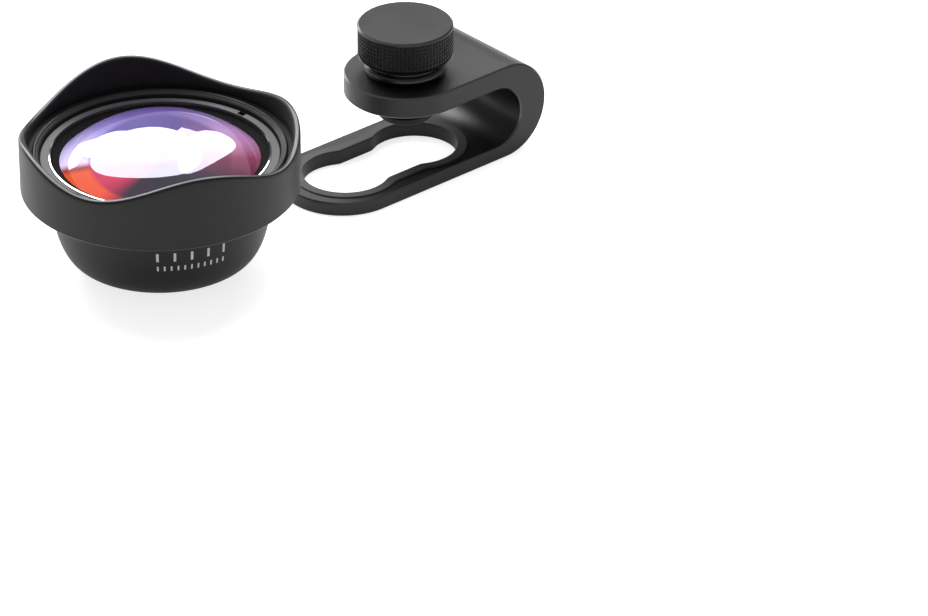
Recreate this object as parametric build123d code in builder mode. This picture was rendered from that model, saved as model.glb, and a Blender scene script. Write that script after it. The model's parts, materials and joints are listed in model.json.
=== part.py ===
# Clip-on macro lens for a phone, standing beside its clamp.
# Row frame, millimetres: the origin is on the lens's optical axis at the plane both rest on,
# +X runs along the clamp towards its bend and +Z is up.
import math
import os
from build123d import *

os.makedirs("parts", exist_ok=True)

SLIP = 0.05              # running clearance
BREAK = 0.3              # broken edge

# Radii of the lens, each a step out from the male thread
THREAD_R = 8.45          # nominal 17 mm
THREAD_WALL = 1.85
MOUNT_FLANGE = 3.95
GROUP_STEP = 3.0         # from the mount to the bore of the rear glass
FOOT_WALL = 1.4
BOWL_FLARE = 4.9         # how far the bowl-shaped barrel widens
HEAD_STEP = 3.2
HEAD_LIP = 1.3           # rounded lip round the retaining ring
RING_FACE = 1.9          # flat face of the retaining ring
BRIGHT_W = 0.35
BRIGHT_GAP = 1.35        # from the glass's edge to the bright ring
HOOD_LEDGE = 1.1
HOOD_WALL = 1.4

# Heights of the lens, each a step up from the resting plane
THREAD_LEN = 2.8
MOUNT_T = 1.8
REAR_RING_T = 1.2
GLASS_GAP = 0.2          # between a glass's edge and the ring over it, for its curved face
REAR_EDGE = 2.2          # thickness of the rear element at its edge
REAR_SAG = 0.5
SPACER_LEN = 2.8
STOP_T = 0.4
FLINT_EDGE = 1.4
FLINT_SAG = 0.3
CEMENT_SAG = 0.6
CROWN_EDGE = 1.0
CROWN_SAG = 1.2
SPACER_SEAT = 0.3
SPACER_RISE = 2.8
BAFFLE_T = 1.2
FRONT_EDGE = 4.1
FRONT_SAG = 0.9          # bulge of the front element's underside
DOME_RISE = 7.8
RING_RISE = 1.2          # top of the retaining ring over the glass's edge
RING_DEPTH = 1.5
LIP_RISE = 1.3
LIP_DROP = 0.8           # from the barrel's top down to the hood's ledge
HOOD_HEIGHT = 7.8        # skirt of the hood below the barrel's top
HOOD_FLOOR = 1.6
PETAL_RISE = 3.8         # middle height of the rim over the barrel's top
PETAL_TALL = 1.22        # two tall petals against two low ones
PETAL_WAVE = 1.97        # four petals against the valleys between them
PETAL_ANGLE = 68.5       # direction of a tall petal
RIM_POINTS = 32
RIM_STOCK = 2.0          # turned stock that the rim's cut takes away

# Openings and small details of the lens
REAR_LIP = 2.8           # how far the rear retaining ring covers the glass
SPACER_WALL = 2.6
STOP_LIP = 5.2
BAFFLE_LIP = 2.0
SEAT_LIP = 1.5           # ledge that carries the front element
EDGE_COVER = 0.1         # how far the front retaining ring covers its glass
NOTCH_ANGLE = 6.0
NOTCH_W = 1.1
NOTCH_LEN = 1.7
NOTCH_DEPTH = 0.8

# Clamp, places along X from the lens's axis
CLIP_WIDTH = 25.0
CLIP_START = 46.5        # centre of the lower arm's round end
LOWER_T = 2.95
JAW = 13.15
UPPER_T = 4.5
SLOT_INSET = 0.7
SLOT_PITCH = 18.2        # between the centres of the slot's lobes
SCREW_REACH = 16.0       # from the first lobe to the screw
JAW_REACH = 13.5         # from the screw to the middle of the inner bend
BEND_SHIFT = 3.0
THREAD_PLAY = 0.3        # room round the lens's thread in the slot
SLOT_WAIST = 1.35        # how much narrower the slot's neck is than its lobes
SLOT_BLEND = 3.0
SHEET_W = 2.05           # rubber sheet round the slot
SHEET_WAIST = 1.15
SHEET_T = 0.3

# Thumb screw, at its lowest
STUD_R = 3.0
KNOB_R = 9.75
KNOB_GAP = 0.2
COLLAR_INSET = 1.35
COLLAR_T = 2.2
COLLAR_ROUND = 0.7
NECK_T = 1.1
BAND_T = 7.2
BAND_MARGIN = 0.9
KNURL_COUNT = 60
KNURL_DEPTH = 0.35
KNURL_HALF = 0.28
FOOT_R = 5.6
FOOT_DROP = 3.0          # clear space between the foot and the upper arm
FOOT_T = 1.0
PAD_T = 1.2
PAD_ROUND = 0.4
PIVOT_WALL = 1.2
PIVOT_PLAY = 0.15

# Radii worked out from the steps above
mount_r = THREAD_R + MOUNT_FLANGE
group_r = mount_r + GROUP_STEP
foot_r = group_r + FOOT_WALL
neck_r = foot_r + BOWL_FLARE
head_r = neck_r + HEAD_STEP
ring_r = head_r - HEAD_LIP
bright_r = ring_r - RING_FACE - BRIGHT_W
glass_r = bright_r - BRIGHT_GAP
hood_in = head_r + HOOD_LEDGE
hood_r = hood_in + HOOD_WALL
seat_r = glass_r - SEAT_LIP

# Heights worked out from the steps above
mount_top = THREAD_LEN + MOUNT_T
rear_z0 = mount_top + REAR_RING_T + GLASS_GAP
rear_z1 = rear_z0 + REAR_EDGE
stop_z0 = rear_z1 + GLASS_GAP + SPACER_LEN
flint_z0 = stop_z0 + STOP_T + GLASS_GAP
doublet_z = flint_z0 + FLINT_EDGE
crown_z1 = doublet_z + CROWN_EDGE
baffle_z0 = crown_z1 + SPACER_SEAT
baffle_z1 = baffle_z0 + SPACER_RISE + BAFFLE_T
front_z0 = baffle_z1 + BREAK
front_z1 = front_z0 + FRONT_EDGE
ring_top = front_z1 + RING_RISE
barrel_top = ring_top + LIP_RISE
hood_z0 = barrel_top - HOOD_HEIGHT
ledge_z = barrel_top - LIP_DROP
petal_mean = barrel_top + PETAL_RISE
petal_top = petal_mean + PETAL_TALL + PETAL_WAVE


def sphere_z(r, face_r, z_edge, sag):
    """Height at radius r of a spherical face that meets the glass's edge at face_r."""
    big = (face_r ** 2 + sag ** 2) / (2 * abs(sag))
    rise = math.sqrt(big ** 2 - r ** 2) - (big - abs(sag))
    return z_edge + math.copysign(rise, sag)


def turned(points, label):
    """Turn an (r, z) outline about the lens's axis into one solid."""
    with BuildPart() as item:
        with BuildSketch(Plane.XZ):
            with BuildLine():
                Polyline(*points, close=True)
            make_face()
        revolve(axis=Axis.Z)
    item.part.label = label
    export_step(item.part, f"parts/{label}.step")


def lens_element(label, r, z_low, z_high, sag_low, sag_high):
    """A round glass element: ground edge, a spherical face on each side."""
    face_r = r - BREAK
    bottom, top = z_low + sag_low, z_high + sag_high
    with BuildPart() as item:
        with BuildSketch(Plane.XZ):
            with BuildLine():
                Line((0, bottom), (0, top))
                ThreePointArc((0, top), (face_r / 2, sphere_z(face_r / 2, face_r, z_high, sag_high)),
                              (face_r, z_high))
                Polyline((face_r, z_high), (r, z_high - BREAK), (r, z_low + BREAK), (face_r, z_low))
                ThreePointArc((face_r, z_low), (face_r / 2, sphere_z(face_r / 2, face_r, z_low, sag_low)),
                              (0, bottom))
            make_face()
        revolve(axis=Axis.Z)
    item.part.label = label
    export_step(item.part, f"parts/{label}.step")


def petal_z(angle):
    """Height of the hood's rim in a direction given in degrees."""
    t = math.radians(angle - PETAL_ANGLE)
    return petal_mean + PETAL_TALL * math.cos(2 * t) + PETAL_WAVE * math.cos(4 * t)


def rim_curve(r):
    """The wavy rim at radius r, as one closed spline."""
    points = []
    for k in range(RIM_POINTS):
        angle = 360 / RIM_POINTS * k
        a = math.radians(angle)
        points.append(Vector(r * math.cos(a), r * math.sin(a), petal_z(angle)))
    return Edge.make_spline(points, periodic=True)


# Lens hood: a turned ring whose rim is cut to four petals
with BuildPart() as lens_hood:
    with BuildSketch(Plane.XZ):
        with BuildLine():
            Polyline(
                (neck_r + SLIP, hood_z0 + BREAK), (neck_r + SLIP + BREAK, hood_z0),
                (hood_r - 2 * BREAK, hood_z0), (hood_r, hood_z0 + 2 * BREAK),
                (hood_r, petal_top + RIM_STOCK), (hood_in, petal_top + RIM_STOCK),
                (hood_in, ledge_z + BREAK), (hood_in - BREAK, ledge_z), (head_r + SLIP, ledge_z),
                (head_r + SLIP, hood_z0 + HOOD_FLOOR), (neck_r + SLIP, hood_z0 + HOOD_FLOOR), close=True,
            )
        make_face()
    revolve(axis=Axis.Z)
    rim_face = Face.make_surface_from_curves(rim_curve(hood_r + RIM_STOCK), rim_curve(hood_in - RIM_STOCK))
    extrude(to_extrude=rim_face, amount=petal_top, dir=(0, 0, 1), mode=Mode.SUBTRACT)
    rim = lens_hood.edges().filter_by(lambda e: e.center().Z > barrel_top and e.length > hood_in)
    fillet(rim, HOOD_WALL / 2 - SLIP)
lens_hood.part.label = "lens_hood"
export_step(lens_hood.part, "parts/lens_hood.step")

# Barrel: bowl-like outside, a rounded lip on top, stepped bore for the glass
bowl_top = hood_z0 - BREAK
seat_z = sphere_z(seat_r, glass_r - BREAK, front_z0, -FRONT_SAG) - SLIP
with BuildPart() as barrel:
    with BuildSketch(Plane.XZ):
        with BuildLine():
            Line((mount_r + SLIP, THREAD_LEN), (foot_r, THREAD_LEN))
            EllipticalCenterArc((foot_r, bowl_top), BOWL_FLARE, bowl_top - THREAD_LEN,
                                start_angle=270, arc_size=90)
            Polyline(
                (neck_r, bowl_top), (neck_r, hood_z0 + HOOD_FLOOR), (head_r, hood_z0 + HOOD_FLOOR),
                (head_r, barrel_top - BREAK), (head_r - BREAK, barrel_top),
                (head_r - 2 * BREAK, barrel_top), (head_r - 3 * BREAK, barrel_top - BREAK),
                (ring_r + BREAK, barrel_top - BREAK), (ring_r, barrel_top - 2 * BREAK),
                (ring_r, ring_top - RING_DEPTH), (glass_r + SLIP, ring_top - RING_DEPTH),
                (glass_r + SLIP, seat_z), (seat_r, seat_z),
                (seat_r, baffle_z0 + seat_r - group_r), (group_r, baffle_z0), (group_r, mount_top),
                (mount_r + SLIP, mount_top), (mount_r + SLIP, THREAD_LEN),
            )
        make_face()
    revolve(axis=Axis.Z)
barrel.part.label = "barrel"
export_step(barrel.part, "parts/barrel.step")

# Front glass, its retaining ring with two spanner notches, and the polished ring that slopes outwards
lens_element("front_element", glass_r, front_z0, front_z1, -FRONT_SAG, DOME_RISE)
cover_r = glass_r - BREAK - EDGE_COVER
cover_z = sphere_z(cover_r, glass_r - BREAK, front_z1, DOME_RISE) + SLIP
bright_z0 = cover_z + 2 * BREAK
with BuildPart() as front_ring:
    with BuildSketch(Plane.XZ):
        with BuildLine():
            Polyline(
                (cover_r, cover_z + BREAK / 2), (cover_r, cover_z), (glass_r + 2 * SLIP, cover_z),
                (glass_r + 2 * SLIP, ring_top - RING_DEPTH), (ring_r - SLIP, ring_top - RING_DEPTH),
                (ring_r - SLIP, ring_top - BREAK), (ring_r - SLIP - BREAK, ring_top),
                (bright_r + BRIGHT_W, ring_top), (bright_r + BRIGHT_W, bright_z0),
                (bright_r, bright_z0), close=True,
            )
        make_face()
    revolve(axis=Axis.Z)
    with Locations((0, 0, ring_top)):
        with PolarLocations(ring_r - RING_FACE / 2, 2, start_angle=NOTCH_ANGLE):
            Box(NOTCH_W, NOTCH_LEN, 2 * NOTCH_DEPTH, mode=Mode.SUBTRACT)
front_ring.part.label = "front_retaining_ring"
export_step(front_ring.part, "parts/front_retaining_ring.step")
turned([
    (bright_r, bright_z0), (bright_r + BRIGHT_W, bright_z0), (bright_r + BRIGHT_W, ring_top + BREAK / 2),
    (bright_r, ring_top + BREAK),
], "bright_ring")

# Rear glass, bottom to top inside the bore
turned([
    (mount_r - REAR_LIP, mount_top), (group_r - SLIP, mount_top),
    (group_r - SLIP, mount_top + REAR_RING_T), (mount_r, mount_top + REAR_RING_T),
    (mount_r - REAR_LIP, mount_top + REAR_RING_T / 2),
], "rear_retaining_ring")
lens_element("rear_element", group_r - SLIP, rear_z0, rear_z1, -REAR_SAG, REAR_SAG)
turned([
    (group_r - SPACER_WALL, rear_z1 + GLASS_GAP), (group_r - SLIP, rear_z1 + GLASS_GAP),
    (group_r - SLIP, stop_z0), (group_r - SPACER_WALL, stop_z0),
], "rear_spacer")
turned([
    (group_r - STOP_LIP, stop_z0), (group_r - SLIP, stop_z0),
    (group_r - SLIP, stop_z0 + STOP_T), (group_r - STOP_LIP, stop_z0 + STOP_T),
], "aperture_stop")
lens_element("flint_element", group_r - SLIP, flint_z0, doublet_z, -FLINT_SAG, CEMENT_SAG)
lens_element("crown_element", group_r - SLIP, doublet_z, crown_z1, CEMENT_SAG, CROWN_SAG)
turned([
    (group_r - BAFFLE_LIP, baffle_z0), (group_r - SLIP, baffle_z0),
    (group_r - SLIP + SPACER_RISE, baffle_z0 + SPACER_RISE), (group_r - SLIP + SPACER_RISE, baffle_z1),
    (group_r - SLIP + SPACER_RISE - BAFFLE_T, baffle_z1 - BREAK - SLIP),
    (group_r - BAFFLE_LIP, baffle_z0 + BAFFLE_T / 2),
], "front_spacer")

# Mount with its male thread, the free end of the lens
bore_r = THREAD_R - THREAD_WALL
turned([
    (bore_r, 0), (THREAD_R, 0), (THREAD_R, THREAD_LEN - BREAK), (THREAD_R - BREAK, THREAD_LEN),
    (mount_r, THREAD_LEN), (mount_r, mount_top), (bore_r + REAR_LIP, mount_top),
    (bore_r, THREAD_LEN + BREAK),
], "thread_mount")

# Clamp: two arms and a round bend, with a two-lobed slot through the lower arm
end_r = CLIP_WIDTH / 2
upper_z0 = LOWER_T + JAW
clip_height = upper_z0 + UPPER_T
slot_x = CLIP_START + SLOT_INSET
screw_x = slot_x + SCREW_REACH
inner_x = screw_x + JAW_REACH
bend_x = inner_x + BEND_SHIFT
slot_lobe = THREAD_R + THREAD_PLAY


def slot_outline(lobe_r, waist):
    """Two round lobes joined by a narrower neck with blended corners."""
    half = lobe_r - waist
    with BuildSketch() as outline:
        with Locations((slot_x, 0), (slot_x + SLOT_PITCH, 0)):
            Circle(lobe_r)
        with Locations((slot_x + SLOT_PITCH / 2, 0)):
            Rectangle(SLOT_PITCH, 2 * half)
        corners = [v for v in outline.vertices() if abs(abs(v.Y) - half) < SLIP]
        fillet(corners, SLOT_BLEND)
    return outline.sketch


slot = slot_outline(slot_lobe, SLOT_WAIST)
sheet = slot_outline(slot_lobe + SHEET_W, SHEET_WAIST)
with BuildPart() as clip_frame:
    with BuildSketch(Plane.XY):
        with Locations((CLIP_START, 0)):
            Circle(end_r)
        with Locations(((CLIP_START + bend_x) / 2, 0)):
            Rectangle(bend_x - CLIP_START, CLIP_WIDTH)
    extrude(amount=LOWER_T)
    with BuildSketch(Plane.XY.offset(upper_z0)):
        with Locations((screw_x, 0)):
            Circle(end_r)
        with Locations(((screw_x + bend_x) / 2, 0)):
            Rectangle(bend_x - screw_x, CLIP_WIDTH)
    extrude(amount=UPPER_T)
    with BuildSketch(Plane.XZ):
        with Locations((bend_x, clip_height / 2)):
            Circle(clip_height / 2)
        with Locations(((inner_x + bend_x) / 2, clip_height / 2)):
            Rectangle(BEND_SHIFT, clip_height)
    extrude(amount=end_r, both=True)
    with BuildSketch(Plane.XZ):
        with Locations((inner_x, LOWER_T + JAW / 2)):
            Circle(JAW / 2)
        with Locations((inner_x - JAW_REACH / 2, LOWER_T + JAW / 2)):
            Rectangle(JAW_REACH, JAW)
    extrude(amount=end_r, both=True, mode=Mode.SUBTRACT)
    with BuildSketch(Plane.XY):
        add(slot)
    extrude(amount=LOWER_T, mode=Mode.SUBTRACT)
    with Locations((screw_x, 0, upper_z0 + UPPER_T / 2)):
        Cylinder(STUD_R + SLIP, UPPER_T, mode=Mode.SUBTRACT)
    outer = clip_frame.edges().filter_by(
        lambda e: abs(abs(e.center().Y) - end_r) < SLIP
        or (e.geom_type == GeomType.CIRCLE and abs(e.radius - end_r) < SLIP)
    )
    chamfer(outer, BREAK)
    slot_rims = clip_frame.edges().filter_by(
        lambda e: e.bounding_box().max.Z < SLIP and abs(e.center().Y) < slot_lobe
        and slot_x - slot_lobe - SLIP < e.center().X < slot_x + SLOT_PITCH + slot_lobe + SLIP
    )
    chamfer(slot_rims, BREAK)
clip_frame.part.label = "clip_frame"
export_step(clip_frame.part, "parts/clip_frame.step")

# Rubber sheet on the lower arm's inner face, cut to the slot
with BuildPart() as arm_pad:
    with BuildSketch(Plane.XY.offset(LOWER_T)):
        add(sheet)
        add(slot, mode=Mode.SUBTRACT)
    extrude(amount=SHEET_T)
    chamfer(arm_pad.edges().group_by(Axis.Z)[-1], BREAK / 2)
arm_pad.part.label = "arm_pad"
export_step(arm_pad.part, "parts/arm_pad.step")

# Thumb screw: fluted knob on a collar, threaded stud, swivelling foot and its silicone pad
collar_z0 = clip_height + KNOB_GAP
collar_r = KNOB_R - COLLAR_INSET
neck_top = collar_z0 + COLLAR_T + NECK_T
knob_top = neck_top + BAND_T
foot_z1 = upper_z0 - FOOT_DROP
foot_z0 = foot_z1 - FOOT_T
with BuildPart() as thumb_knob:
    with BuildSketch(Plane(origin=(screw_x, 0, 0), x_dir=(1, 0, 0), z_dir=(0, -1, 0))):
        with BuildLine():
            Line((0, collar_z0), (collar_r - COLLAR_ROUND, collar_z0))
            ThreePointArc((collar_r - COLLAR_ROUND, collar_z0), (collar_r, collar_z0 + COLLAR_T / 2),
                          (collar_r - COLLAR_ROUND, collar_z0 + COLLAR_T))
            Polyline(
                (collar_r - COLLAR_ROUND, collar_z0 + COLLAR_T),
                (collar_r - COLLAR_ROUND, collar_z0 + COLLAR_T + BREAK),
                (KNOB_R - 3 * BREAK, neck_top), (KNOB_R, neck_top + 2 * BREAK),
                (KNOB_R, knob_top - BREAK), (KNOB_R - BREAK, knob_top), (0, knob_top), (0, collar_z0),
            )
        make_face()
    revolve(axis=Axis((screw_x, 0, 0), (0, 0, 1)))
    with BuildSketch(Plane(origin=(screw_x, 0, neck_top + BAND_MARGIN))):
        with PolarLocations(KNOB_R, KNURL_COUNT):
            Polygon((KNURL_HALF, -2 * KNURL_HALF), (KNURL_HALF, 2 * KNURL_HALF), (-KNURL_DEPTH, 0),
                    align=None)
    extrude(amount=BAND_T - 2 * BAND_MARGIN, mode=Mode.SUBTRACT)
thumb_knob.part.label = "thumb_knob"
export_step(thumb_knob.part, "parts/thumb_knob.step")

bottom_up = (Align.CENTER, Align.CENTER, Align.MIN)
with BuildPart() as screw_stud:
    with Locations((screw_x, 0, foot_z1 + SLIP)):
        Cylinder(STUD_R, collar_z0 - foot_z1 - SLIP, align=bottom_up)
    with Locations((screw_x, 0, foot_z0 + PIVOT_PLAY)):
        Cylinder(STUD_R - PIVOT_WALL, FOOT_T, align=bottom_up)
screw_stud.part.label = "screw_stud"
export_step(screw_stud.part, "parts/screw_stud.step")

with BuildPart() as foot_cap:
    with Locations((screw_x, 0, foot_z0)):
        Cylinder(FOOT_R, FOOT_T, align=bottom_up)
        Cylinder(STUD_R - PIVOT_WALL + SLIP, FOOT_T, align=bottom_up, mode=Mode.SUBTRACT)
    rims = foot_cap.edges().filter_by(GeomType.CIRCLE).group_by(Axis.Z)[-1]
    chamfer(rims.sort_by(SortBy.RADIUS)[-1], BREAK)
foot_cap.part.label = "foot_cap"
export_step(foot_cap.part, "parts/foot_cap.step")

with BuildPart() as pressure_pad:
    with Locations((screw_x, 0, foot_z0 - PAD_T)):
        Cylinder(FOOT_R, PAD_T, align=bottom_up)
    fillet(pressure_pad.edges().filter_by(GeomType.CIRCLE).group_by(Axis.Z)[0], PAD_ROUND)
pressure_pad.part.label = "pressure_pad"
export_step(pressure_pad.part, "parts/pressure_pad.step")
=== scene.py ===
import json
import math

import bmesh
import bpy
from mathutils import Matrix, Vector

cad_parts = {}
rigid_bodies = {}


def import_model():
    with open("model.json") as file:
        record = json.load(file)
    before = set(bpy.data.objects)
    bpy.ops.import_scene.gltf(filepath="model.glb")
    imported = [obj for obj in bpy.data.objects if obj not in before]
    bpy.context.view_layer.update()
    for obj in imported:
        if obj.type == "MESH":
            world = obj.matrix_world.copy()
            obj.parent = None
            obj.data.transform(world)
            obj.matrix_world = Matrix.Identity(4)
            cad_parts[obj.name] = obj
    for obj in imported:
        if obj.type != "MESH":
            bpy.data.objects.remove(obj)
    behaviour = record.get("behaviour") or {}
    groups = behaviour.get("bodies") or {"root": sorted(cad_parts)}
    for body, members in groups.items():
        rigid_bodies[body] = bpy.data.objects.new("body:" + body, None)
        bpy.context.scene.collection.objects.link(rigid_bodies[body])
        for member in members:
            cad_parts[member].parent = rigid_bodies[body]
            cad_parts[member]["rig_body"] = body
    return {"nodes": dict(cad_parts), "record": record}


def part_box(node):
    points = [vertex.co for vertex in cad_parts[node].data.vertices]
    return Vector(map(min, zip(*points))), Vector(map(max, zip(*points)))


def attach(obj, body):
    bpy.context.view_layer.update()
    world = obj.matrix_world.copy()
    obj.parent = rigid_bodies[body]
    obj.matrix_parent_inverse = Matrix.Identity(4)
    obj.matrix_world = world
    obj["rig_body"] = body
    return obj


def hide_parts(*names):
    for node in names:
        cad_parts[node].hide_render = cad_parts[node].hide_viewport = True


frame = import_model()

bl_info = {
    "name": "Clip-on macro lens",
    "version": (1, 0, 0),
    "blender": (4, 5, 0),
    "location": "View3D > Sidebar > Macro Lens",
    "description": "Dresses a clip-on phone lens and its screw clamp in their real finishes",
    "category": "Object",
}

MM = 0.001
SET = "lens_and_clamp"


def corner(node, which, axis):
    """One coordinate of a CAD node's box: which is 0 for the low side, 1 for the high side."""
    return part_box(node)[which][axis]


# Sizes read from the frame, in metres
HOOD_R = corner("lens_hood", 1, 0)
HOOD_Z0 = corner("lens_hood", 0, 2)
HOOD_Z1 = corner("lens_hood", 1, 2)
HEAD_R = corner("barrel", 1, 0)
BARREL_Z1 = corner("barrel", 1, 2)
GLASS_R = corner("front_element", 1, 0)
KNOB_X = (corner("thumb_knob", 0, 0) + corner("thumb_knob", 1, 0)) / 2
KNOB_R = (corner("thumb_knob", 1, 0) - corner("thumb_knob", 0, 0)) / 2
KNOB_Z0 = corner("thumb_knob", 0, 2)
KNOB_Z1 = corner("thumb_knob", 1, 2)

# Sizes that the frame's boxes don't give
EDGE_CUT = 0.3 * MM
CLAMP_CHAMFER = 0.35 * MM
HOOD_FLOOR = 1.6 * MM        # thickness of the hood's bottom flange
HOOD_FLANGE = 6 * MM         # from the hood's outside in to the barrel's neck
LIP_DROP = 0.8 * MM          # from the barrel's top down to the ledge in the hood
HEAD_PLAY = 0.06 * MM
DOME_RISE = 7.8 * MM
DOME_BULGE = -0.9 * MM       # the front glass's underside bulges down
RING_WALL = 0.35 * MM        # the bright ring, from its opening to its outside
FLANGE_DEPTH = 1.8 * MM      # thickness of the mount's flange
BORE_FLARE = 2.8 * MM        # how far the mount's bore widens inside the flange
STUD_THREAD = 0.5 * MM       # depth of the screw's thread
GLOSS_PATCH = 9 * MM         # width of the patches in which the anodised gloss varies a little
WAVE_PERIOD = 0.314          # metres from ring to ring in Blender's wave texture at scale 1

# Painted reflections: what the front glass's coating throws back round the axis, near its rim and further in:
# 0 to 1 is one turn, and 0.5 points towards the clamp
PAINTED_REFLECTION_RIM = (
    (0.0, "#e44e06"), (0.02, "#d03a18"), (0.05, "#7a1020"), (0.09, "#1c0810"), (0.3, "#1e0810"),
    (0.36, "#5c1228"), (0.415, "#8c3c50"), (0.46, "#bc84a4"), (0.5, "#bc94bc"), (0.56, "#9078ac"),
    (0.63, "#745ca4"), (0.7, "#7c6cac"), (0.76, "#9c90cc"), (0.84, "#e0dcf4"), (0.875, "#f2ecff"),
    (0.893, "#a03a30"), (0.91, "#e85c08"), (1.0, "#e44e06"),
)
PAINTED_REFLECTION_MIDDLE = (
    (0.0, "#b01838"), (0.02, "#801430"), (0.045, "#240a16"), (0.13, "#100a10"), (0.27, "#140810"),
    (0.33, "#2c0816"), (0.4, "#6a1830"), (0.47, "#90587c"), (0.6, "#584488"), (0.75, "#665ca0"),
    (0.86, "#8478b4"), (0.9, "#c0344c"), (0.96, "#c82c48"), (1.0, "#b01838"),
)
PAINTED_REFLECTION_STEP = (10.8 * MM, 11.8 * MM)    # radii between which the middle turns into the rim

# The index scale: height up the barrel, line height, count and line width, in millimetres
MARK_ROWS = ((12.9, 1.9, 5, 0.5), (10.3, 1.1, 11, 0.36))
MARK_DIRECTION = -113        # degrees
MARK_SPREAD = 36             # degrees
MARK_RADIUS = 21.5           # barrel's radius at the scale, in millimetres
INK = 0.015 * MM

# The stage
CAMERA_PLACE = (-0.6010, -0.7685, 0.5499)
CAMERA_TARGET = (0.0322, -0.0528, 0)
CAMERA_LENS = 220.7
VIEW_TURN = math.radians(41.5)
# Lamps that face the set: way back, aside and up, width, height and brightness
FACING_LAMPS = {
    "back_panel": (0.75, 0.19, 0.56, 0.22, 0.14, 4.0),
    "left_window": (0.75, -0.59, 0.2, 0.34, 0.42, 4.0),
}
# Oval softboxes that the dome mirrors: distance, direction and long side (as aside, back, up),
# width, height and brightness
OVAL_LAMPS = {
    "overhead_softbox": (0.70, (-0.164, 0.473, 0.879), (0.882, -0.408, 0.236), 0.92, 0.74, 3.9),
    "overhead_left": (0.90, (-0.439, 0.683, 0.584), (0.168, -0.577, 0.800), 0.59, 0.36, 4.0),
    "overhead_right": (0.80, (0.349, 0.592, 0.727), (0.099, 0.748, -0.656), 1.01, 0.30, 3.6),
}


class HoodSettings(bpy.types.PropertyGroup):
    wall: bpy.props.FloatProperty(
        name="Hood wall", description="Thickness of the petals", default=1.4 * MM, unit="LENGTH")
    tall: bpy.props.FloatProperty(
        name="Tall petals", description="Rise of the two tall petals", default=1.22 * MM, unit="LENGTH")
    wave: bpy.props.FloatProperty(
        name="Petal wave", description="Half the height between petal and valley", default=1.97 * MM,
        unit="LENGTH")
    turn: bpy.props.FloatProperty(
        name="Petal direction", description="Where a tall petal stands", default=math.radians(68.5),
        subtype="ANGLE")


class KnobSettings(bpy.types.PropertyGroup):
    columns: bpy.props.IntProperty(
        name="Knurl columns", description="Pyramids round the knob", default=76)
    rows: bpy.props.IntProperty(
        name="Knurl rows", description="Pyramids from bottom to top", default=7)
    depth: bpy.props.FloatProperty(
        name="Knurl depth", description="Depth of the knurl's grooves", default=0.36 * MM, unit="LENGTH")


class ThreadSettings(bpy.types.PropertyGroup):
    male: bpy.props.FloatProperty(
        name="Thread radius", description="Outer radius of the lens's thread", default=8.45 * MM,
        unit="LENGTH")
    bore: bpy.props.FloatProperty(
        name="Bore radius", description="Opening for the light through the mount", default=6.6 * MM,
        unit="LENGTH")
    pitch: bpy.props.FloatProperty(
        name="Thread pitch", description="Pitch of the lens's thread", default=0.6 * MM, unit="LENGTH")
    depth: bpy.props.FloatProperty(
        name="Thread depth", description="Depth of the lens's thread", default=0.32 * MM, unit="LENGTH")
    screw_pitch: bpy.props.FloatProperty(
        name="Screw pitch", description="Pitch of the thumb screw", default=1.0 * MM, unit="LENGTH")


class FinishSettings(bpy.types.PropertyGroup):
    black: bpy.props.StringProperty(
        name="Anodised black", description="Colour of the hood and barrel", default="#0f0f10")
    clamp: bpy.props.StringProperty(
        name="Clamp black", description="Colour of the clamp", default="#121213")
    coating: bpy.props.StringProperty(
        name="Lens coating", description="Tint of the front glass's reflections", default="#e8e4ff")


def srgb(code):
    """A hex colour as linear RGBA."""
    out = []
    for k in (1, 3, 5):
        c = int(code[k:k + 2], 16) / 255
        out.append(c / 12.92 if c <= 0.04045 else ((c + 0.055) / 1.055) ** 2.4)
    return (*out, 1.0)


def node(tree, kind, links=None, **settings):
    """Add a shader node, set its properties and fill or link its inputs."""
    item = tree.nodes.new(kind)
    for key, value in settings.items():
        setattr(item, key, value)
    for key, value in (links or {}).items():
        if isinstance(value, bpy.types.NodeSocket):
            tree.links.new(value, item.inputs[key])
        else:
            item.inputs[key].default_value = value
    return item


def material(name):
    """An empty node material and its tree."""
    made = bpy.data.materials.new(name)
    made.use_nodes = True
    made.node_tree.nodes.clear()
    return made, made.node_tree


def finish_with(tree, shader):
    """Send the finished shader to the surface."""
    node(tree, "ShaderNodeOutputMaterial", {"Surface": shader})


def anodised(name, code, roughness, grain_mm, strength, shine=0.4, spread=0.05):
    """Bead-blasted aluminium, dyed and sealed: a dark even satin with a fine grain in the highlights.

    Real beads leave pits of about 0.05 mm; the grain is drawn twice as coarse so that it shows.
    """
    made, tree = material(name)
    place = node(tree, "ShaderNodeTexCoord").outputs["Object"]
    grain = node(tree, "ShaderNodeTexNoise", {"Vector": place, "Scale": 1 / (grain_mm * MM), "Detail": 3.0})
    cloud = node(tree, "ShaderNodeTexNoise", {"Vector": place, "Scale": 1 / GLOSS_PATCH, "Detail": 2.0})
    rough = node(tree, "ShaderNodeMapRange", {
        "Value": cloud.outputs["Fac"], "To Min": roughness - spread, "To Max": roughness + spread})
    bump = node(tree, "ShaderNodeBump", {
        "Height": grain.outputs["Fac"], "Strength": strength, "Distance": 0.02 * MM})
    shader = node(tree, "ShaderNodeBsdfPrincipled", {
        "Base Color": srgb(code), "Roughness": rough.outputs["Result"], "Normal": bump.outputs["Normal"],
        "Metallic": 0.0, "Specular IOR Level": shine})
    finish_with(tree, shader.outputs["BSDF"])
    return made


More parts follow.
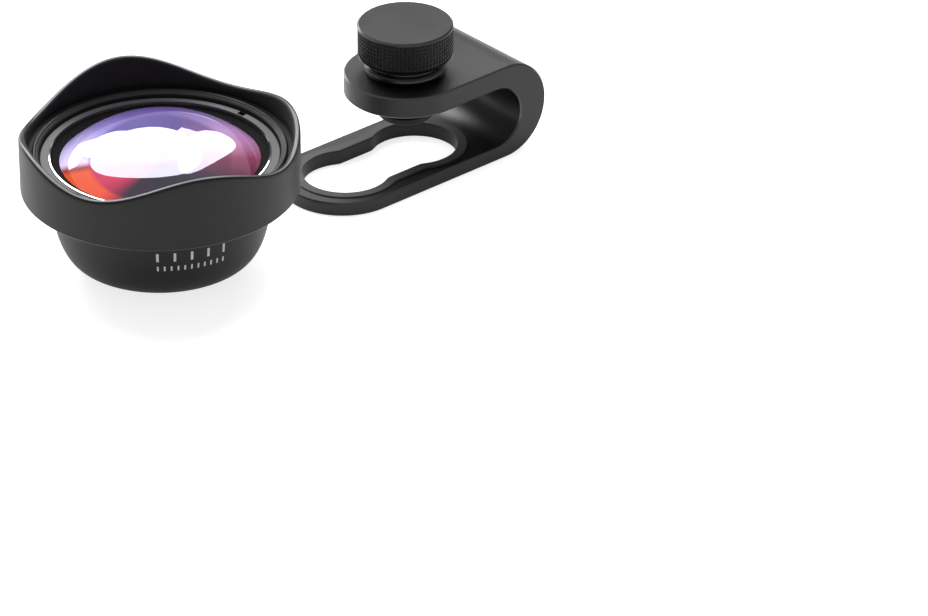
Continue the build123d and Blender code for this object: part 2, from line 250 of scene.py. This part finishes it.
def turned_metal(name, code, roughness, pitch_mm, metallic, strength=0.25):
    """Metal turned on a lathe: faint rings about the axis catch the light.

    A fine feed is about 0.1 mm; the rings are drawn two to three times as wide so that they show.
    """
    made, tree = material(name)
    place = node(tree, "ShaderNodeTexCoord").outputs["Object"]
    rings = node(tree, "ShaderNodeTexWave", {
        "Vector": place, "Scale": WAVE_PERIOD / (pitch_mm * MM), "Distortion": 0.3, "Detail": 1.0},
        wave_type="RINGS", rings_direction="Z")
    bump = node(tree, "ShaderNodeBump", {
        "Height": rings.outputs["Fac"], "Strength": strength, "Distance": 0.02 * MM})
    shader = node(tree, "ShaderNodeBsdfPrincipled", {
        "Base Color": srgb(code), "Roughness": roughness, "Metallic": metallic,
        "Normal": bump.outputs["Normal"]})
    finish_with(tree, shader.outputs["BSDF"])
    return made


def coated_glass(name, tint):
    """Polished optical glass: the coating on it mirrors a little lavender light and lets the rest in."""
    made, tree = material(name)
    shader = node(tree, "ShaderNodeBsdfPrincipled", {
        "Base Color": srgb(tint), "Roughness": 0.0, "IOR": 1.52, "Transmission Weight": 1.0,
        "Metallic": 0.16})
    finish_with(tree, shader.outputs["BSDF"])
    return made


def painted_coating_glow(name):
    """Coating under the front glass, with its reflections painted on: orange, crimson and violet round the
    axis.

    Colours of thin layers can't be traced, so these reflections are painted on here and the surface glows
    with
    them: the glow is most of what shows, and it stays in place when the view moves.
    """
    made, tree = material(name)
    place = node(tree, "ShaderNodeTexCoord").outputs["Object"]
    round_axis = node(tree, "ShaderNodeTexGradient", {"Vector": place}, gradient_type="RADIAL")
    rings = []
    for bands in (PAINTED_REFLECTION_MIDDLE, PAINTED_REFLECTION_RIM):
        item = node(tree, "ShaderNodeValToRGB", {"Fac": round_axis.outputs["Fac"]})
        ramp = item.color_ramp
        ramp.elements[0].color, ramp.elements[1].color = srgb(bands[0][1]), srgb(bands[-1][1])
        for spot, code in bands[1:-1]:
            ramp.elements.new(spot).color = srgb(code)
        rings.append(item.outputs["Color"])
    level = node(tree, "ShaderNodeVectorMath", {0: place, 1: (1.0, 1.0, 0.0)}, operation="MULTIPLY")
    radius = node(tree, "ShaderNodeVectorMath", {0: level.outputs["Vector"]}, operation="LENGTH")
    outward = node(tree, "ShaderNodeMapRange", {
        "Value": radius.outputs["Value"], "From Min": PAINTED_REFLECTION_STEP[0], "From Max": PAINTED_REFLECTION_STEP[1]})
    mixed = node(tree, "ShaderNodeMixRGB", {
        "Fac": outward.outputs["Result"], "Color1": rings[0], "Color2": rings[1]})
    # the painted reflections are both the surface's colour and its glow
    shader = node(tree, "ShaderNodeBsdfPrincipled", {
        "Base Color": mixed.outputs["Color"], "Roughness": 0.4, "Specular IOR Level": 0.2,
        "Emission Color": mixed.outputs["Color"], "Emission Strength": 0.72})
    finish_with(tree, shader.outputs["BSDF"])
    return made


def deep_glass(name, tint):
    """Glass deep in the barrel: nearly black, for nothing behind it is lit, with warm glints."""
    made, tree = material(name)
    shader = node(tree, "ShaderNodeBsdfPrincipled", {
        "Base Color": srgb("#12060b"), "Roughness": 0.02, "IOR": 1.7, "Specular Tint": srgb(tint)})
    finish_with(tree, shader.outputs["BSDF"])
    return made


def silicone(name):
    """Moulded silicone: soft, matt and slightly dusty.

    The mould's grain is about 0.1 mm; it is drawn at 0.3 mm so that it shows.
    """
    made, tree = material(name)
    place = node(tree, "ShaderNodeTexCoord").outputs["Object"]
    grain = node(tree, "ShaderNodeTexNoise", {"Vector": place, "Scale": 1 / (0.3 * MM), "Detail": 2.0})
    bump = node(tree, "ShaderNodeBump", {
        "Height": grain.outputs["Fac"], "Strength": 0.2, "Distance": 0.02 * MM})
    shader = node(tree, "ShaderNodeBsdfPrincipled", {
        "Base Color": srgb("#1b1b1c"), "Roughness": 0.7, "Sheen Weight": 0.15,
        "Normal": bump.outputs["Normal"]})
    finish_with(tree, shader.outputs["BSDF"])
    return made


def painted_mark(name):
    """Pad-printed white ink, flat, with an uneven gloss from the pad's 0.2 mm grain."""
    made, tree = material(name)
    place = node(tree, "ShaderNodeTexCoord").outputs["Object"]
    grain = node(tree, "ShaderNodeTexNoise", {"Vector": place, "Scale": 1 / (0.2 * MM)})
    shade = node(tree, "ShaderNodeMapRange", {
        "Value": grain.outputs["Fac"], "To Min": 0.45, "To Max": 0.65})
    shader = node(tree, "ShaderNodeBsdfPrincipled", {
        "Base Color": srgb("#e4e4e4"), "Roughness": shade.outputs["Result"]})
    finish_with(tree, shader.outputs["BSDF"])
    return made


FINISHES = {}


def make_finishes():
    """Make every material once, in the colours that the panel's settings hold."""
    tints = bpy.context.scene.lens_finish
    FINISHES.update({
        # Hood and barrel: an even satin black that greys softly where light grazes it
        "anodised_black": anodised("bead_blasted_anodised_black", tints.black, 0.42, 0.12, 0.25),
        # Retaining ring: a shade paler, with fine lathe rings
        "anodised_grey": turned_metal("turned_anodised_grey", "#38383a", 0.45, 0.25, 0.0),
        # Light traps inside the hood and barrel: they swallow nearly all light
        "baffle_black": anodised("light_trap_black", "#0d0d0e", 0.6, 0.1, 0.2, 0.3),
        # Ink on the ring's slope round the glass: dead black, so that the glass stands out
        "seat_ink": anodised("matt_black_ink", "#0a0a0b", 0.8, 0.1, 0.3, 0.06),
        # Turned and dyed: thread flanks catch thin lines of light
        "thread_black": turned_metal("cut_thread_black", "#222224", 0.35, 0.3, 0.0),
        # Polished bare aluminium: a thin mirror line round the glass
        "polished_edge": turned_metal("polished_aluminium", "#f2f2f4", 0.08, 0.2, 1.0, 0.05),
        "coated_glass": coated_glass("coated_optical_glass", tints.coating),
        # Underside of the front glass: painted reflections in orange, crimson and violet, which glow
        "painted_reflection_glow": painted_coating_glow("painted_lens_reflections"),
        # Chamfers cut after dyeing: a bright line along an edge
        "cut_edge": turned_metal("bright_cut_edge", "#5c5c5f", 0.3, 0.2, 1.0, 0.1),
        # Chamfers cut and dyed again: a softer grey line
        "dark_cut_edge": turned_metal("dark_cut_edge", "#48484a", 0.3, 0.2, 1.0, 0.1),
        "clear_glass": deep_glass("inner_optical_glass", "#ff7a3c"),
        # Clamp: a little smoother than the lens, so its bend carries a broad soft highlight
        "clip_black": anodised("satin_anodised_black", tints.clamp, 0.36, 0.1, 0.18, 0.45),
        # Knob: the smoothest of the blacks, its flat top reads as plain grey
        "knob_black": anodised("knob_anodised_black", tints.clamp, 0.32, 0.1, 0.15),
        # Oxidised steel: nearly black, with metal's own highlights
        "screw_steel": turned_metal("black_oxide_steel", "#111112", 0.4, 0.2, 1.0),
        "pad_silicone": silicone("matt_black_silicone"),
        "mark": painted_mark("white_pad_print"),
    })


def start():
    """Leave edit mode and deselect everything."""
    if bpy.context.object and bpy.context.object.mode != "OBJECT":
        bpy.ops.object.mode_set(mode="OBJECT")
    bpy.ops.object.select_all(action="DESELECT")


def settle(piece, finish, body, angle=30):
    """Apply a finished piece's place, shade it, and give it its finish and body."""
    start()
    piece.select_set(True)
    bpy.context.view_layer.objects.active = piece
    bpy.ops.object.transform_apply(location=True, rotation=True, scale=True)
    bpy.ops.object.shade_smooth_by_angle(angle=math.radians(angle))
    if not piece.data.materials:
        piece.data.materials.append(FINISHES[finish])
    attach(piece, body)


def turned(name, outline, steps):
    """Spin an (r, z) outline, in metres, about the upright axis."""
    start()
    bpy.ops.mesh.primitive_circle_add(vertices=len(outline), radius=1)
    piece = bpy.context.object
    piece.name = name
    for vertex, (r, z) in zip(piece.data.vertices, outline):
        vertex.co = (r, 0, z)
    bpy.ops.object.mode_set(mode="EDIT")
    bpy.ops.mesh.select_all(action="SELECT")
    mesh = bmesh.from_edit_mesh(piece.data)
    axis_edges = [e for e in mesh.edges if all(v.co.x < 1e-9 for v in e.verts)]
    bmesh.ops.delete(mesh, geom=axis_edges, context="EDGES")
    bmesh.update_edit_mesh(piece.data)
    bpy.ops.mesh.select_all(action="SELECT")
    bpy.ops.mesh.spin(steps=steps, angle=2 * math.pi, center=(0, 0, 0), axis=(0, 0, 1))
    bpy.ops.mesh.select_all(action="SELECT")
    bpy.ops.mesh.remove_doubles(threshold=1e-7)
    bpy.ops.mesh.normals_make_consistent(inside=False)
    bpy.ops.object.mode_set(mode="OBJECT")
    return piece


def arc(cx, cz, radius, start_deg, end_deg, count):
    """Points of an arc in the (r, z) plane."""
    out = []
    for k in range(count + 1):
        a = math.radians(start_deg + (end_deg - start_deg) * k / count)
        out.append((cx + radius * math.cos(a), cz + radius * math.sin(a)))
    return out


def dress_node(name):
    """A CAD piece as it is, with its faces joined so that curves shade smoothly."""
    source = frame["nodes"][name]
    start()
    piece = source.copy()
    piece.data = source.data.copy()
    piece.name = name + "_dressed"
    # the copy is a piece of its own, so it drops what marks the CAD node
    for key in list(piece.keys()):
        del piece[key]
    piece.parent = None
    bpy.context.scene.collection.objects.link(piece)
    start()
    piece.select_set(True)
    bpy.context.view_layer.objects.active = piece
    bpy.ops.object.mode_set(mode="EDIT")
    bpy.ops.mesh.select_all(action="SELECT")
    bpy.ops.mesh.remove_doubles(threshold=2e-6)
    bpy.ops.object.mode_set(mode="OBJECT")
    if piece.data.has_custom_normals:
        bpy.ops.mesh.customdata_custom_splitnormals_clear()
    piece.data.materials.clear()
    slot = next(s["material_slot"] for s in frame["record"]["subparts"] if s["node"] == name)
    settle(piece, slot, source["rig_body"])
    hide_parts(name)


def petal(angle):
    """Height of the rim above its mean in a direction."""
    hood = bpy.context.scene.lens_hood_shape
    return hood.tall * math.cos(2 * (angle - hood.turn)) + hood.wave * math.cos(4 * (angle - hood.turn))


class LENS_OT_hood(bpy.types.Operator):
    """Turn the hood and raise its rim into four petals"""
    bl_idname = "lens.hood"
    bl_label = "Petal hood"

    def execute(self, context):
        hood = context.scene.lens_hood_shape
        mean = HOOD_Z1 - hood.tall - hood.wave
        inner = HOOD_R - hood.wall
        bead = hood.wall / 2
        shoulder = BARREL_Z1 - LIP_DROP
        neck, head = HOOD_R - HOOD_FLANGE, HEAD_R + HEAD_PLAY
        outline = [(neck, HOOD_Z0), (HOOD_R - EDGE_CUT, HOOD_Z0), (HOOD_R, HOOD_Z0 + EDGE_CUT)]
        outline += [(HOOD_R, HOOD_Z0 + k * (mean - bead - HOOD_Z0) / 10) for k in range(1, 10)]
        outline += arc(HOOD_R - bead, mean - bead, bead, 0, 180, 8)
        outline += [(inner, mean - bead - k * (mean - bead - shoulder) / 6) for k in range(1, 6)]
        outline += [(inner, shoulder + 0.35 * MM), (inner - 0.25 * MM, shoulder), (head, shoulder),
                    (head, HOOD_Z0 + HOOD_FLOOR), (neck, HOOD_Z0 + HOOD_FLOOR)]
        piece = turned("petal_hood", outline, 256)
        # the walls stretch evenly up to the wavy rim, from just over the flange and the ledge
        low_out, low_in = HOOD_Z0 + 1.2 * MM, shoulder + 0.4 * MM
        for vertex in piece.data.vertices:
            r = math.hypot(vertex.co.x, vertex.co.y)
            low = low_out if r > HOOD_R - bead else low_in
            share = (vertex.co.z - low) / (mean - bead - low)
            if share > 0 and r > inner - 0.05 * MM:
                vertex.co.z += min(share, 1) * petal(math.atan2(vertex.co.y, vertex.co.x))
        for finish in ("anodised_black", "baffle_black", "dark_cut_edge"):
            piece.data.materials.append(FINISHES[finish])
        for face in piece.data.polygons:
            out = Vector((face.center.x, face.center.y, 0)).normalized()
            low_cut = face.center.z < HOOD_Z0 + 0.29 * MM and face.normal.z < -0.3
            rim = face.center.z > BARREL_Z1 and face.normal.z > 0.75
            if rim or (low_cut and face.normal.dot(out) > 0.3):
                face.material_index = 2
            ledge = face.center.z < shoulder + 0.5 * MM and face.normal.z > 0.5
            if ledge or face.normal.dot(out) < -0.5:
                face.material_index = 1
        settle(piece, "anodised_black", SET)
        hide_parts("lens_hood")
        return {"FINISHED"}


def ground_lens(name, under, over, finish):
    """A round glass with spherical faces: under and over are how far their middles stand above their rims."""
    low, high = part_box(name)
    r, face_r = high.x, high.x - EDGE_CUT
    rim_low, rim_high = low.z - min(under, 0), high.z - max(over, 0)

    def face(rim, sag, radius):
        ball = (face_r ** 2 + sag ** 2) / (2 * abs(sag))
        rise = math.sqrt(ball ** 2 - radius ** 2) - math.sqrt(ball ** 2 - face_r ** 2)
        return rim + math.copysign(rise, sag)

    radii = [face_r * k / 48 for k in range(49)]
    outline = [(k, face(rim_high, over, k)) for k in reversed(radii)]
    outline += [(k, face(rim_low, under, k)) for k in radii]
    outline += [(r, rim_low + EDGE_CUT), (r, rim_high - EDGE_CUT)]
    piece = turned(name + "_ground", outline, 256)
    piece.data.materials.append(FINISHES[finish])
    return piece, rim_high


class LENS_OT_glass(bpy.types.Operator):
    """Grind the front dome and the glasses behind it"""
    bl_idname = "lens.glass"
    bl_label = "Glass"

    def execute(self, context):
        piece, rim_high = ground_lens("front_element", DOME_BULGE, DOME_RISE, "coated_glass")
        # the glass's underside carries the painted, glowing reflections of its coating
        piece.data.materials.append(FINISHES["painted_reflection_glow"])
        for face in piece.data.polygons:
            if face.center.z < rim_high - 0.2 * MM:
                face.material_index = 1
        settle(piece, "coated_glass", SET)
        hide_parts("front_element")

        low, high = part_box("bright_ring")
        inner = high.x - RING_WALL
        strip_in, strip_out = inner + 0.06 * MM, inner + 0.26 * MM
        ring = turned("polished_ring", [
            (inner, low.z), (high.x, low.z), (high.x, high.z - 0.15 * MM),
            (strip_out, high.z - 0.12 * MM), (strip_in, high.z - 0.03 * MM), (inner, high.z)], 256)
        ring.data.materials.append(FINISHES["thread_black"])
        ring.data.materials.append(FINISHES["polished_edge"])
        for face in ring.data.polygons:
            if face.normal.z > 0.5 and strip_in < math.hypot(face.center.x, face.center.y) < strip_out:
                face.material_index = 1
        settle(ring, "polished_edge", SET)
        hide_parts("bright_ring")

        for name, under, over in (("crown_element", 0.6, 1.2), ("flint_element", -0.3, 0.6),
                                  ("rear_element", -0.5, 0.5)):
            piece = ground_lens(name, under * MM, over * MM, "clear_glass")[0]
            settle(piece, "clear_glass", SET)
            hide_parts(name)
        return {"FINISHED"}


class LENS_OT_knob(bpy.types.Operator):
    """Turn the thumb knob and knurl its rim"""
    bl_idname = "lens.knob"
    bl_label = "Knurled knob"

    def execute(self, context):
        knurl = context.scene.lens_knob_shape
        collar_r, collar_top, neck_top = KNOB_R - 1.35 * MM, KNOB_Z0 + 2.2 * MM, KNOB_Z0 + 3.3 * MM
        groove_r = collar_r - 0.7 * MM
        band_low, band_high = neck_top + 0.65 * MM, KNOB_Z1 - 0.75 * MM
        bead = 1.1 * MM
        outline = [(0, KNOB_Z0), (collar_r - bead, KNOB_Z0)]
        outline += arc(collar_r - bead, KNOB_Z0 + bead, bead, -75, 75, 10)
        outline += [(groove_r, collar_top + 0.1 * MM), (groove_r, collar_top + 0.3 * MM),
                    (KNOB_R - 0.9 * MM, neck_top), (KNOB_R - 0.1 * MM, neck_top + 0.55 * MM)]
        outline += [(KNOB_R, band_low + k * (band_high - band_low) / (2 * knurl.rows))
                    for k in range(2 * knurl.rows + 1)]
        outline += [(KNOB_R - 0.05 * MM, band_high + 0.15 * MM), (KNOB_R - 0.05 * MM, KNOB_Z1 - 0.35 * MM),
                    (KNOB_R - 0.35 * MM, KNOB_Z1 - 0.05 * MM), (KNOB_R - 0.4 * MM, KNOB_Z1), (0, KNOB_Z1)]
        piece = turned("knurled_knob", outline, knurl.columns * 2)
        half_turn, half_row = math.pi / knurl.columns, (band_high - band_low) / (2 * knurl.rows)
        # every other point of the band stays out as a pyramid's tip
        for vertex in piece.data.vertices:
            x, y, z = vertex.co
            if band_low - 1e-6 < z < band_high + 1e-6 and math.hypot(x, y) > KNOB_R - 1e-6:
                column = round(math.atan2(y, x) / half_turn)
                row = round((z - band_low) / half_row)
                if column % 2 == 0 or row % 2 == 0:
                    scale = 1 - knurl.depth / KNOB_R
                    vertex.co.x, vertex.co.y = x * scale, y * scale
        for finish in ("knob_black", "cut_edge", "dark_cut_edge"):
            piece.data.materials.append(FINISHES[finish])
        for face in piece.data.polygons:
            r = math.hypot(face.center.x, face.center.y)
            if KNOB_Z1 - 0.35 * MM < face.center.z < KNOB_Z1 - 0.06 * MM:
                face.material_index = 1
            elif r > collar_r - bead and face.center.z < band_low - 0.1 * MM:
                face.material_index = 2
        piece.location = (KNOB_X, 0, 0)
        settle(piece, "knob_black", "thumb_screw", angle=22)
        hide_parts("thumb_knob")
        return {"FINISHED"}


class LENS_OT_metal(bpy.types.Operator):
    """Dress the turned and milled pieces that keep their shape"""
    bl_idname = "lens.metal"
    bl_label = "Turned and milled pieces"

    def execute(self, context):
        remade = ("lens_hood", "front_element", "crown_element", "flint_element", "rear_element",
                  "thumb_knob", "thread_mount", "screw_stud", "bright_ring")
        for name in frame["nodes"]:
            if name not in remade:
                dress_node(name)

        # the retaining ring's inner slope is inked
        seat = bpy.data.objects["front_retaining_ring_dressed"]
        seat.data.materials.append(FINISHES["seat_ink"])
        for face in seat.data.polygons:
            if face.center.x * face.normal.x + face.center.y * face.normal.y < -0.12 * GLASS_R:
                face.material_index = 1

        # the clamp's outer chamfers are cut bright: found by their distance from the outline
        clamp = bpy.data.objects["clip_frame_dressed"]
        clamp.data.materials.append(FINISHES["cut_edge"])
        low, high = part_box("clip_frame")
        half = high.y
        for face in clamp.data.polygons:
            x, y, z = face.center
            end_x = KNOB_X if z > high.z / 2 else low.x + half
            rim = abs(y) if x > end_x else math.hypot(x - end_x, y)
            leaning = 0.5 < abs(face.normal.z) < 0.9 or (x > end_x and 0.5 < abs(face.normal.y) < 0.9)
            if rim > half - CLAMP_CHAMFER and leaning:
                face.material_index = 1
        return {"FINISHED"}


def cut_thread(piece, radius, low, high, pitch, depth):
    """Push a turned piece's wall in along a helix so that it carries a V thread."""
    for vertex in piece.data.vertices:
        x, y, z = vertex.co
        if low - 1e-7 < z < high + 1e-7 and abs(math.hypot(x, y) - radius) < 1e-6:
            turn = (z / pitch - math.atan2(y, x) / (2 * math.pi)) % 1
            fade = min(1, (z - low) / pitch, (high - z) / pitch)
            scale = 1 - depth * max(fade, 0) * (1 - abs(2 * turn - 1)) / radius
            vertex.co.x, vertex.co.y = x * scale, y * scale


def wall(radius, low, high, step):
    """Points up a straight wall, close enough together to carry a thread."""
    count = max(2, round((high - low) / step))
    return [(radius, low + k * (high - low) / count) for k in range(count + 1)]


class LENS_OT_threads(bpy.types.Operator):
    """Turn the mount and the screw's stud and cut their threads"""
    bl_idname = "lens.threads"
    bl_label = "Threads"

    def execute(self, context):
        shape = context.scene.lens_thread
        low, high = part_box("thread_mount")
        flange, bore, male = high.x, shape.bore, shape.male
        shoulder = high.z - FLANGE_DEPTH
        thread_low, thread_high = low.z + 0.2 * MM, shoulder - EDGE_CUT
        outline = [(bore, low.z), (male - 0.2 * MM, low.z)]
        outline += wall(male, thread_low, thread_high, shape.pitch / 12)
        outline += [(male - EDGE_CUT, shoulder), (flange, shoulder), (flange, high.z),
                    (bore + BORE_FLARE, high.z), (bore, shoulder + EDGE_CUT)]
        piece = turned("threaded_mount", outline, 256)
        cut_thread(piece, male, thread_low, thread_high, shape.pitch, shape.depth)
        settle(piece, "thread_black", SET, angle=40)
        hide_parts("thread_mount")

        low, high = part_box("screw_stud")
        stud_r, pitch = (high.x - low.x) / 2, shape.screw_pitch
        outline = [(0, low.z)] + wall(stud_r, low.z, high.z, pitch / 12) + [(0, high.z)]
        piece = turned("threaded_stud", outline, 96)
        cut_thread(piece, stud_r, low.z, high.z, pitch, STUD_THREAD)
        piece.location = ((low.x + high.x) / 2, 0, 0)
        settle(piece, "screw_steel", frame["nodes"]["screw_stud"]["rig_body"], angle=40)
        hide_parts("screw_stud")
        return {"FINISHED"}


class LENS_OT_marks(bpy.types.Operator):
    """Print a plain index scale on the barrel"""
    bl_idname = "lens.marks"
    bl_label = "Index marks"

    def execute(self, context):
        barrel = bpy.data.objects["barrel_dressed"]
        made = []
        for row_z, height, count, width in MARK_ROWS:
            for k in range(count):
                start()
                bpy.ops.mesh.primitive_grid_add(x_subdivisions=1, y_subdivisions=6, size=1)
                tick = bpy.context.object
                angle = math.radians(MARK_DIRECTION + (k - (count - 1) / 2) * MARK_SPREAD / (count - 1))
                # each line is laid on the barrel's curve from outside
                for vertex in tick.data.vertices:
                    turn = angle + vertex.co.x * width / MARK_RADIUS
                    aside = Vector((math.cos(turn), math.sin(turn), 0))
                    z = (row_z + vertex.co.y * height) * MM
                    spot = barrel.ray_cast(aside * 0.05 + Vector((0, 0, z)), -aside)[1]
                    vertex.co = spot + aside * INK
                made.append(tick)
        start()
        for tick in made:
            tick.select_set(True)
        bpy.context.view_layer.objects.active = made[0]
        bpy.ops.object.join()
        made[0].name = "index_marks"
        settle(made[0], "mark", SET)
        return {"FINISHED"}


def aim(obj, target):
    """Turn a camera or lamp to look at a place."""
    obj.rotation_euler = (Vector(target) - obj.location).to_track_quat("-Z", "Y").to_euler()


def hang(name, shape, place, width, height, radiance):
    """Add a flat lamp whose power grows with its size, so that size leaves its brightness alone."""
    bpy.ops.object.light_add(type="AREA", location=place)
    lamp = bpy.context.object
    lamp.name = name
    lamp.data.shape = shape
    lamp.data.size, lamp.data.size_y = width, height
    lamp.data.energy = radiance * math.pi * width * height
    return lamp


class LENS_OT_stage(bpy.types.Operator):
    """Lay the floor, set the camera at the photograph's angle and hang the lamps"""
    bl_idname = "lens.stage"
    bl_label = "Stage, camera and lamps"

    def execute(self, context):
        scene = context.scene
        scene.view_settings.view_transform = "Standard"
        start()
        bpy.ops.mesh.primitive_plane_add(size=6, location=(0, 0, -0.02 * MM))
        floor = bpy.context.object
        floor.name = "floor"
        made, tree = material("matt_white_floor")
        # plain white to the camera and pale in reflections, while it keeps the set's shadow
        rays = node(tree, "ShaderNodeLightPath")
        shine = node(tree, "ShaderNodeMath", {0: rays.outputs["Is Glossy Ray"], 1: 0.34},
                     operation="MULTIPLY")
        glow = node(tree, "ShaderNodeMath", {
            0: rays.outputs["Is Camera Ray"], 1: 0.78, 2: shine.outputs["Value"]},
            operation="MULTIPLY_ADD")
        shader = node(tree, "ShaderNodeBsdfPrincipled", {
            "Base Color": srgb("#b8b8b8"), "Roughness": 0.8, "Specular IOR Level": 0.1,
            "Emission Color": (1, 1, 1, 1), "Emission Strength": glow.outputs["Value"]})
        finish_with(tree, shader.outputs["BSDF"])
        floor.data.materials.append(made)

        bpy.ops.object.camera_add(location=CAMERA_PLACE)
        camera = bpy.context.object
        camera.data.sensor_width = 36
        camera.data.lens = CAMERA_LENS
        camera.data.clip_start, camera.data.clip_end = 0.05, 20
        aim(camera, CAMERA_TARGET)
        scene.camera = camera

        # white to the camera, 0.3 in reflections and 0.45 as light on the set
        world = bpy.data.worlds.new("pale_studio")
        scene.world = world
        world.use_nodes = True
        tree = world.node_tree
        tree.nodes.clear()
        rays = node(tree, "ShaderNodeLightPath")
        base = node(tree, "ShaderNodeMath", {0: rays.outputs["Is Camera Ray"], 1: 0.55, 2: 0.45},
                    operation="MULTIPLY_ADD")
        level = node(tree, "ShaderNodeMath", {
            0: rays.outputs["Is Glossy Ray"], 1: -0.15, 2: base.outputs["Value"]},
            operation="MULTIPLY_ADD")
        sky = node(tree, "ShaderNodeBackground", {
            "Color": (1, 1, 1, 1), "Strength": level.outputs["Value"]})
        node(tree, "ShaderNodeOutputWorld", {"Surface": sky.outputs["Background"]})

        away = Vector((math.sin(VIEW_TURN), math.cos(VIEW_TURN), 0))
        right = Vector((away.y, -away.x, 0))
        centre = Vector((0.01, 0, 0.02))
        for name, (back, aside, up, width, height, radiance) in FACING_LAMPS.items():
            place = centre + away * back + right * aside + Vector((0, 0, up))
            aim(hang(name, "RECTANGLE", place, width, height, radiance), centre)
        view_frame = Matrix((right, away, (0, 0, 1))).transposed()
        for name, (reach, heading, along, width, height, radiance) in OVAL_LAMPS.items():
            heading, along = view_frame @ Vector(heading), view_frame @ Vector(along)
            lamp = hang(name, "ELLIPSE", centre + heading * reach, width, height, radiance)
            upward = heading.normalized()
            across = upward.cross(along).normalized()
            lamp.rotation_euler = Matrix((across.cross(upward), across, upward)).transposed().to_euler()
        return {"FINISHED"}


class LENS_PT_panel(bpy.types.Panel):
    """Lists the steps that dress the lens and its clamp"""
    bl_label = "Macro Lens"
    bl_idname = "LENS_PT_panel"
    bl_space_type = "VIEW_3D"
    bl_region_type = "UI"
    bl_category = "Macro Lens"

    def draw(self, context):
        for step in STEPS:
            self.layout.operator(step.bl_idname)


STEPS = (LENS_OT_stage, LENS_OT_metal, LENS_OT_hood, LENS_OT_glass, LENS_OT_knob, LENS_OT_threads,
         LENS_OT_marks)
CLASSES = (HoodSettings, KnobSettings, ThreadSettings, FinishSettings, *STEPS, LENS_PT_panel)


def register():
    for item in CLASSES:
        bpy.utils.register_class(item)
    bpy.types.Scene.lens_hood_shape = bpy.props.PointerProperty(type=HoodSettings)
    bpy.types.Scene.lens_knob_shape = bpy.props.PointerProperty(type=KnobSettings)
    bpy.types.Scene.lens_thread = bpy.props.PointerProperty(type=ThreadSettings)
    bpy.types.Scene.lens_finish = bpy.props.PointerProperty(type=FinishSettings)


def unregister():
    del bpy.types.Scene.lens_finish
    del bpy.types.Scene.lens_thread
    del bpy.types.Scene.lens_knob_shape
    del bpy.types.Scene.lens_hood_shape
    for item in reversed(CLASSES):
        bpy.utils.unregister_class(item)


def main():
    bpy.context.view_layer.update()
    register()
    make_finishes()
    bpy.ops.lens.stage()
    bpy.ops.lens.metal()
    bpy.ops.lens.hood()
    bpy.ops.lens.glass()
    bpy.ops.lens.knob()
    bpy.ops.lens.threads()
    bpy.ops.lens.marks()


if __name__ == "__main__":
    main()
